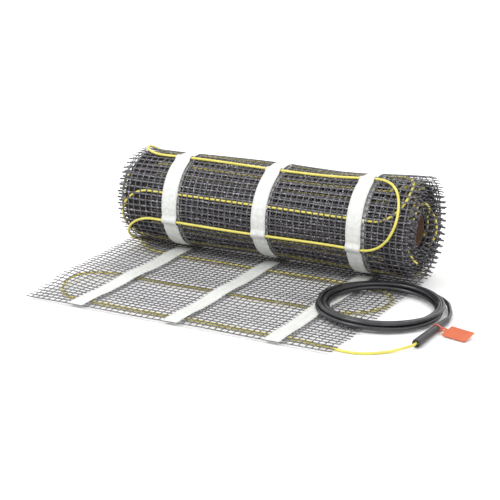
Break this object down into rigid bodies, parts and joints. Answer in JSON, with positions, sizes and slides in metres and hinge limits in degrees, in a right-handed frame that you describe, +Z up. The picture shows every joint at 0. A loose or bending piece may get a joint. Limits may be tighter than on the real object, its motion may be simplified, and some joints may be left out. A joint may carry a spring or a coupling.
{
  "type": "underfloor heating mat",
  "caption": "Electric underfloor heating mat: heating cable taped in loops to a glass-fibre mesh, partly unrolled from its core, with the cold lead coiled beside it.",
  "frame": {"origin": "on the floor, at the middle of the box round the mat, without its free cords", "axes": "+X along the roll towards the end with the lead, +Y from the unrolled length's front edge to the roll, +Z up"},
  "size_m": [0.6454, 0.4237, 0.1661],
  "materials": {
    "mesh_strands": "coated glass-fibre strands, charcoal with a faint lilac sheen",
    "core_card": "plain brown cardboard",
    "tape": "white adhesive tape, slightly see-through, satin",
    "cable_sheath": "yellow cable sheath, satin gloss",
    "lead_sheath": "black cable sheath and shrunk sleeve, glossy",
    "tag_plastic": "plain orange plastic"
  },
  "bodies": {
    "root": {"glass_mesh": "mesh_strands", "core_tube": "core_card", "lower_tape_left": "tape", "lower_tape_middle": "tape", "lower_tape_right": "tape", "upper_tape_left": "tape", "upper_tape_middle": "tape", "upper_tape_right": "tape", "heating_cable": "cable_sheath", "heating_tail": "cable_sheath", "splice_sleeve": "lead_sheath", "tag_tie": "tag_plastic", "tag": "tag_plastic", "cold_lead_run": "lead_sheath", "cold_lead_coil": "lead_sheath"}
  },
  "joints": []
}
